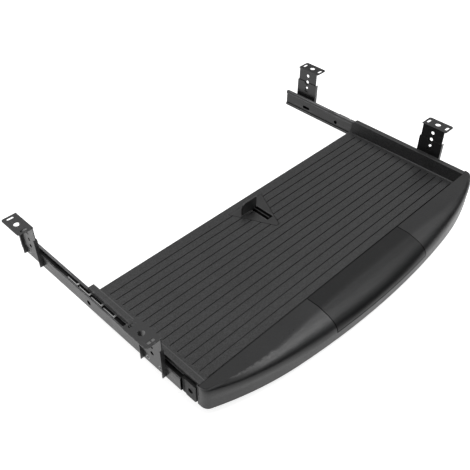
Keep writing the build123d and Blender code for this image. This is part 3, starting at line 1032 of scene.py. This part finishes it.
class Pattern(Graph):
    """A Geometry Nodes tree that sets one piece out in rows."""

    def __init__(self, name: str, piece: type) -> None:
        """Starts the tree with its inputs and its output.

        Args:
            name: the tree's name.
            piece: the kind of piece, whose sizes are inputs beside those of the layout.
        """
        super().__init__(bpy.data.node_groups.new(name, "GeometryNodeTree"))
        add = self.tree.interface.new_socket
        for size in (*fields(Layout), *fields(piece)):
            add(size.name, in_out="INPUT", socket_type=SOCKETS[size.type])
        add("material", in_out="INPUT", socket_type="NodeSocketMaterial")
        add("geometry", in_out="OUTPUT", socket_type="NodeSocketGeometry")
        self.given = self.node("NodeGroupInput")

    def column(self) -> Wire:
        """How far along a post a point is, from 0 to 1."""
        return self.node("GeometryNodeSplineParameter")["Factor"]

    def upward(self, length: Wire) -> Wire:
        """A vector of a given length along Z."""
        return self.node("ShaderNodeCombineXYZ", {2: length})[0]

    def copies(self, **inputs: Wire) -> Wire:
        """Real copies of one thing, one on every point."""
        spread = self.node("GeometryNodeInstanceOnPoints", inputs)[0]
        return self.node("GeometryNodeRealizeInstances", {0: spread})[0]

    def rows(self) -> Wire:
        """Points set out in rows.

        Returns:
            The points, by the sizes of the layout.
        """
        given, offset = self.given, {"mode": "OFFSET"}
        line = {"Count": given["count"], "Start Location": given["start"], "Offset": given["step"]}
        one = self.node("GeometryNodeMeshLine", line, offset)[0]
        step = {"Count": given["rows"], "Offset": given["row_step"]}
        many = self.node("GeometryNodeMeshLine", step, offset)[0]
        return self.copies(Points=many, Instance=one)

    def turned_post(self, radius: Wire, length: Wire, profile: Wire, rings: int) -> Wire:
        """A round post along +Z whose radius follows a profile.

        Args:
            radius: the largest radius.
            length: the post's length.
            profile: the share of the radius along the post.
            rings: how many rings of points it has.

        Returns:
            The post's mesh.
        """
        axis = self.node("GeometryNodeCurvePrimitiveLine", {"End": self.upward(length)})[0]
        inputs = {"Curve": axis, "Count": rings}
        fine = self.node("GeometryNodeResampleCurve", inputs, {"mode": "COUNT"})[0]
        inputs = {"Curve": fine, "Radius": profile * radius}
        shaped = self.node("GeometryNodeSetCurveRadius", inputs)[0]
        inputs = {"Resolution": POST_SIDES, "Radius": 1.0}
        ring = self.node("GeometryNodeCurvePrimitiveCircle", inputs)[0]
        scale = self.node("GeometryNodeInputRadius")[0]
        inputs = {"Curve": shaped, "Profile Curve": ring, "Scale": scale, "Fill Caps": True}
        return self.node("GeometryNodeCurveToMesh", inputs)[0]

    def moved(self, shape: Wire, **inputs: Any) -> Wire:
        """A shape that is moved or turned."""
        return self.node("GeometryNodeTransform", {"Geometry": shape} | inputs)[0]

    def joined(self, *shapes: Wire) -> Wire:
        """Several shapes as one."""
        return self.node("GeometryNodeJoinGeometry", {0: list(shapes)})[0]

    def finish(self, one: Wire) -> Tree:
        """Puts one piece on every point of the rows and ends the tree.

        Args:
            one: the piece.

        Returns:
            The finished tree.
        """
        turn = self.node("FunctionNodeEulerToRotation", {0: self.given["turn"]})[0]
        real = self.copies(Points=self.rows(), Instance=one, Rotation=turn)
        inputs = {"Geometry": real, "Material": self.given["material"]}
        done = self.node("GeometryNodeSetMaterial", inputs)[0]
        self.node("NodeGroupOutput", {0: done})
        return self.tree


@cache
def screw_tree() -> Tree:
    """Sets out pan-head screws.

    Returns:
        The tree.
    """
    dome_share, dome_power, bar_share = 0.93, 2.6, 1.1
    ring_pitch, ring_share = 0.0012, 0.06
    tree = Pattern("screw_rows", PanScrew)
    given, along = tree.given, tree.column()
    dome = (1 - (along * dome_share) ** dome_power).maths("SQRT")
    head = tree.turned_post(given["head_radius"], given["head_height"], dome, HEAD_RINGS)
    inputs = {0: given["head_radius"] * bar_share, 1: given["recess"], 2: given["head_height"]}
    size = tree.node("ShaderNodeCombineXYZ", inputs)[0]
    bar = tree.node("GeometryNodeMeshCube", {"Size": size})[0]
    for turn in (0.0, math.pi / 2):
        top = tree.upward(given["head_height"])
        cut = tree.moved(bar, Translation=top, Rotation=(0.0, 0.0, turn))
        inputs = {"Mesh 1": head, "Mesh 2": cut}
        settings = {"operation": "DIFFERENCE", "solver": "EXACT"}
        head = tree.node("GeometryNodeMeshBoolean", inputs, settings)[0]
    wave = (along * given["shank_length"] * (2 * math.pi / ring_pitch)).maths("SINE") * ring_share
    rings = wave + (1 - ring_share)
    shank = tree.turned_post(given["shank_radius"], given["shank_length"], rings, THREAD_RINGS)
    return tree.finish(tree.joined(head, tree.moved(shank, Rotation=(math.pi, 0.0, 0.0))))


@cache
def rivet_tree() -> Tree:
    """Sets out rivets.

    Returns:
        The tree.
    """
    dome_share, dome_power = 0.97, 2.0
    tree = Pattern("rivet_rows", Rivet)
    given, along = tree.given, tree.column()
    dome = (1 - (along * dome_share) ** dome_power).maths("SQRT")
    head = tree.turned_post(given["head_radius"], given["head_height"], dome, HEAD_RINGS)
    shank = tree.turned_post(given["shank_radius"], given["grip"], along * 0 + 1, PLAIN_RINGS)
    cone = 1 - along * (1 - given["shank_radius"] / given["flare_radius"])
    flare = tree.turned_post(given["flare_radius"], given["flare_height"], cone, FLARE_RINGS)
    low = tree.upward(given["grip"] * -1.0)
    shank, flare = (tree.moved(part, Translation=low) for part in (shank, flare))
    return tree.finish(tree.joined(head, shank, flare))


@cache
def ball_tree() -> Tree:
    """Sets out bearing balls.

    Returns:
        The tree.
    """
    tree = Pattern("ball_rows", Ball)
    inputs = {"Radius": tree.given["radius"], "Subdivisions": BALL_SUBDIVISIONS}
    ball = tree.node("GeometryNodeMeshIcoSphere", inputs)[0]
    return tree.finish(tree.node("GeometryNodeSetShadeSmooth", {0: ball})[0])


@dataclass
class Rows:
    """One set of small pieces laid out by a tree, in place of a CAD node."""

    name: str
    node: str
    tree: Tree
    one: PanScrew | Rivet | Ball
    finish: Finish
    body: Body
    layout: Layout

    def build(self) -> Piece:
        """Makes the pieces as one plain mesh.

        Returns:
            The pieces as one object.
        """
        piece = link(self.name, bpy.data.meshes.new(self.name))
        made = piece.modifiers.new("rows", "NODES")
        made.node_group = self.tree
        given = asdict(self.one) | asdict(self.layout) | {"material": self.finish.make()}
        for item in self.tree.interface.items_tree:
            if item.in_out == "INPUT":
                made[item.identifier] = given[item.name]
        bake(piece)
        work = bmesh.new()
        work.from_mesh(piece.data)
        bmesh.ops.recalc_face_normals(work, faces=work.faces)
        work.to_mesh(piece.data)
        work.free()
        smooth(piece)
        return settle(piece, self.node, self.finish, self.body)


@dataclass
class TrayBody:
    """The tray with its cable clip."""

    edge: float = 0.0003
    clip_edge: float = 0.0004
    rim_width: float = 0.0018
    foot_width: float = 0.0022
    foot_from_middle: float = 0.2715

    def build(self) -> Pieces:
        """Rounds and dresses the tray and the clip.

        Returns:
            Both pieces.
        """
        rims = WideEdges(RIM_Z, self.rim_width)
        feet = WideEdges(DECK_Z, self.foot_width, self.foot_from_middle)
        return [
            softened("tray", DECK, self.edge, wide=(rims, feet)),
            softened("cable_clip", CLIP, self.clip_edge),
        ]


@dataclass
class PalmRest:
    """The palm rest, its centre grip and their screws."""

    edge: float = 0.0005
    grip_edge: float = 0.0004
    screw_y: float = -0.224
    first_x: float = 0.0456
    step_x: float = 0.0646
    screws_a_side: int = 3
    seat_z: float = -0.0668
    shank_length: float = 0.011

    def build(self) -> Pieces:
        """Builds the rest, the grip and the screws under the ledge.

        Returns:
            All pieces.
        """
        rest = softened("palm_rest", PALM, self.edge)
        grip = softened("centre_grip", GRIP, self.grip_edge)
        last_x = self.first_x + (self.screws_a_side - 1) * self.step_x
        layout = Layout(
            start=(self.first_x, self.screw_y, self.seat_z),
            step=(self.step_x, 0.0, 0.0),
            count=self.screws_a_side,
            row_step=(-self.first_x - last_x, 0.0, 0.0),
            rows=2,
            turn=(math.pi, 0.0, 0.0),
        )
        one, names = PanScrew(self.shank_length), ("ledge_screws", "palm_screws")
        screws = Rows(*names, screw_tree(), one, ZINC, Body.TRAY, layout).build()
        return [rest, grip, screws, dress(NODES["grip_screws"], ZINC)]


@dataclass
class TraySides:
    """Sliding rails, stop blocks, bumpers and the screws of the tray's sides."""

    rail_edge: float = 0.00015
    block_edge: float = 0.0005
    bumper_edge: float = 0.0006
    web_inside: float = 0.2863
    skirt_inside: float = 0.2808
    nut_height: float = 0.0032
    screw_end: float = 0.001
    screws: int = 3
    first_y: float = -0.145156
    step_y: float = 0.069536

    def screw_row(self, side: Side) -> Piece:
        """Builds the screws that go through a sliding rail into the tray's side.

        Args:
            side: which side they are on.

        Returns:
            The screws as one object.
        """
        tip = self.skirt_inside - self.nut_height - self.screw_end
        layout = Layout(
            start=(side.value * self.web_inside, self.first_y, RAIL_Z),
            step=(0.0, self.step_y, 0.0),
            count=self.screws,
            turn=(0.0, side.value * math.pi / 2, 0.0),
        )
        one = PanScrew(self.web_inside - tip)
        names = (f"{side.word}_side_screws", f"{side.word}_rail_screws")
        return Rows(*names, screw_tree(), one, ZINC, Body.TRAY, layout).build()

    def build(self) -> Pieces:
        """Builds both sides.

        Returns:
            All pieces.
        """
        pieces = []
        for side in Side:
            word = side.word
            pieces += [
                softened(f"{word}_sliding_rail", SLIDER, self.rail_edge),
                softened(f"{word}_stop_block", BLOCK, self.block_edge),
                softened(f"{word}_end_bumper", RUBBER, self.bumper_edge),
                self.screw_row(side),
                dress(NODES[f"{word}_rail_nuts"], ZINC),
                dress(NODES[f"{word}_travel_stud"], ZINC),
                dress(NODES[f"{word}_stop_block_screw"], BLACK_SCREW),
            ]
        return pieces


@dataclass
class BallCages:
    """The zinc cages with their rows of balls."""

    ball_x: float = 0.2866
    ball_z: float = 0.0131
    middle_y: float = -0.0005
    pitch: float = 0.0095
    count: int = 11

    def balls(self, side: Side) -> Piece:
        """Builds the upper and the lower row of balls of one side.

        Args:
            side: which side they are on.

        Returns:
            The balls as one object.
        """
        first_y = self.middle_y - self.pitch * (self.count - 1) / 2
        layout = Layout(
            start=(side.value * self.ball_x, first_y, RAIL_Z - self.ball_z),
            step=(0.0, self.pitch, 0.0),
            count=self.count,
            row_step=(0.0, 0.0, 2 * self.ball_z),
            rows=2,
        )
        names = (f"{side.word}_ball_set", f"{side.word}_cage_balls")
        body = Body(f"{side.word}_ball_cage")
        return Rows(*names, ball_tree(), Ball(), BALL, body, layout).build()

    def build(self) -> Pieces:
        """Dresses the cages and builds the balls.

        Returns:
            All pieces.
        """
        pieces = []
        for side in Side:
            pieces += [dress(NODES[f"{side.word}_ball_cages"], CAGE), self.balls(side)]
        return pieces


@dataclass
class RailCarriers:
    """Hangers, fixed rails and the rivets between them."""

    hanger_edge: float = 0.00025
    rail_edge: float = 0.00015
    rivet_spacing: float = 0.0234

    def rivets(self, side: Side) -> Piece:
        """Builds the four rivets of one side.

        Args:
            side: which side they are on.

        Returns:
            The rivets as one object.
        """
        first_y = -BRACKET_Y - self.rivet_spacing / 2
        layout = Layout(
            start=(side.value * FIXED_WEB_X, first_y, RAIL_Z),
            step=(0.0, self.rivet_spacing, 0.0),
            count=2,
            row_step=(0.0, 2 * BRACKET_Y, 0.0),
            rows=2,
            turn=(0.0, -side.value * math.pi / 2, 0.0),
        )
        names = (f"{side.word}_rivet_set", f"{side.word}_rail_rivets")
        return Rows(*names, rivet_tree(), Rivet(), ZINC, Body.CARRIERS, layout).build()

    def build(self) -> Pieces:
        """Builds both sides.

        Returns:
            All pieces.
        """
        pieces, body = [], Body.CARRIERS
        for side in Side:
            for row in Row:
                name = f"{side.word}_{row.word}_hanger"
                pieces.append(softened(name, COAT, self.hanger_edge, body))
            name = f"{side.word}_fixed_rail"
            pieces.append(softened(name, RAIL, self.rail_edge, body))
            pieces.append(self.rivets(side))
        return pieces


@dataclass
class DeskBrackets:
    """The four bent plates that are screwed under the desk."""

    edge: float = 0.00025

    def build(self) -> Pieces:
        """Rounds and dresses the four brackets, and returns them."""
        names = [f"{side.word}_{row.word}_desk_bracket" for side in Side for row in Row]
        return [softened(name, COAT, self.edge, Body.BRACKETS) for name in names]


@dataclass(frozen=True)
class Lamp:
    """One square soft box that faces the tray, with its power in watts."""

    name: str
    place: Triple
    size: float
    power: float
    aim: Triple = (0.0, -0.05, -0.06)

    def build(self) -> None:
        """Puts the lamp into the scene."""
        data = bpy.data.lights.new(self.name, "AREA")
        data.size = self.size
        data.energy = self.power
        lamp = link(self.name, data)
        lamp.location = self.place
        forward = Vector(self.aim) - Vector(self.place)
        lamp.rotation_euler = forward.to_track_quat("-Z", "Y").to_euler()


@dataclass
class Studio:
    """Floor, walls, world, lamps and camera."""

    floor_z: float = -0.097
    floor_half: float = 6.0
    floor_white: Colour = (0.8, 0.8, 0.8)
    floor_glow: float = 0.84
    wall_radius: float = 2.4
    wall_height: float = 1.25
    wall_sides: int = 48
    ambient: float = 0.45
    lamps: tuple[Lamp, ...] = (
        Lamp("rear_left", (-0.6, 1.4, 1.5), 1.2, 10.0),
        Lamp("front_right", (0.72, -0.70, 1.5), 0.8, 11.0),
    )
    camera_place: Triple = (-0.5759, -0.5510, 0.5865)
    camera_right: Triple = (0.70825, -0.70595, 0.00174)
    camera_up: Triple = (0.47111, 0.47447, 0.74359)
    lens: float = 50.90
    sensor: float = 36.0

    def floor(self) -> None:
        """A plain white floor that keeps the shadow."""
        half = self.floor_half
        corners = [(-half, -half), (half, -half), (half, half), (-half, half)]
        mesh = bpy.data.meshes.new("floor")
        mesh.from_pydata([(x, y, self.floor_z) for x, y in corners], [], [(0, 1, 2, 3)])
        floor = link("floor", mesh)
        paint = Paint("floor_white")
        glow = {"Color": opaque(WHITE), "Strength": paint.seen() * self.floor_glow}
        white = {"Color": opaque(self.floor_white)}
        shaders = (
            paint.node("ShaderNodeEmission", glow)[0],
            paint.node("ShaderNodeBsdfDiffuse", white)[0],
        )
        both = paint.node("ShaderNodeAddShader", dict(enumerate(shaders)))[0]
        paint.node("ShaderNodeOutputMaterial", {"Surface": both})
        mesh.materials.append(paint.material)

    def walls(self) -> None:
        """The dim walls round the tray, which only reflections and light rays meet."""
        sides, ring = self.wall_sides, []
        for level in (self.floor_z, self.wall_height):
            for angle in (2 * math.pi * step / sides for step in range(sides)):
                x, y = self.wall_radius * math.cos(angle), self.wall_radius * math.sin(angle)
                ring.append((x, y, level))
        steps = [(step, (step + 1) % sides) for step in range(sides)]
        faces = [(after, step, step + sides, after + sides) for step, after in steps]
        mesh = bpy.data.meshes.new("studio_walls")
        mesh.from_pydata(ring, [], faces)
        walls = dress(link("studio_walls", mesh), WALL)
        walls.visible_camera = False

    def world(self) -> None:
        """White where the camera and reflections see it, a plain level of light elsewhere."""
        world = bpy.data.worlds.new("studio")
        bpy.context.scene.world = world
        world.use_nodes = True
        world.node_tree.nodes.clear()
        graph = Graph(world.node_tree)
        inputs = {"Color": opaque(WHITE), "Strength": graph.seen().most(self.ambient)}
        back = graph.node("ShaderNodeBackground", inputs)[0]
        graph.node("ShaderNodeOutputWorld", {"Surface": back})

    def camera(self) -> None:
        """Puts the camera where the photograph was taken from."""
        data = bpy.data.cameras.new("camera")
        data.lens = self.lens
        data.sensor_width = self.sensor
        camera = link("camera", data)
        right, up = Vector(self.camera_right), Vector(self.camera_up)
        turn = Matrix((right, up, right.cross(up))).transposed().to_4x4()
        camera.matrix_world = Matrix.Translation(self.camera_place) @ turn
        bpy.context.scene.camera = camera

    def build(self) -> None:
        """Sets the whole studio."""
        self.floor()
        self.walls()
        self.world()
        for lamp in self.lamps:
            lamp.build()
        self.camera()
        bpy.context.scene.view_settings.view_transform = "Standard"


def main() -> None:
    """Builds the object piece by piece and reports each one, then sets the studio."""
    logging.basicConfig(level=logging.INFO, format="%(name)s %(message)s")
    for part in (TrayBody(), PalmRest(), TraySides(), BallCages(), RailCarriers(), DeskBrackets()):
        for piece in part.build():
            LOG.info("%s: %d faces", piece.name, len(piece.data.polygons))
    Studio().build()


if __name__ == "__main__":
    main()
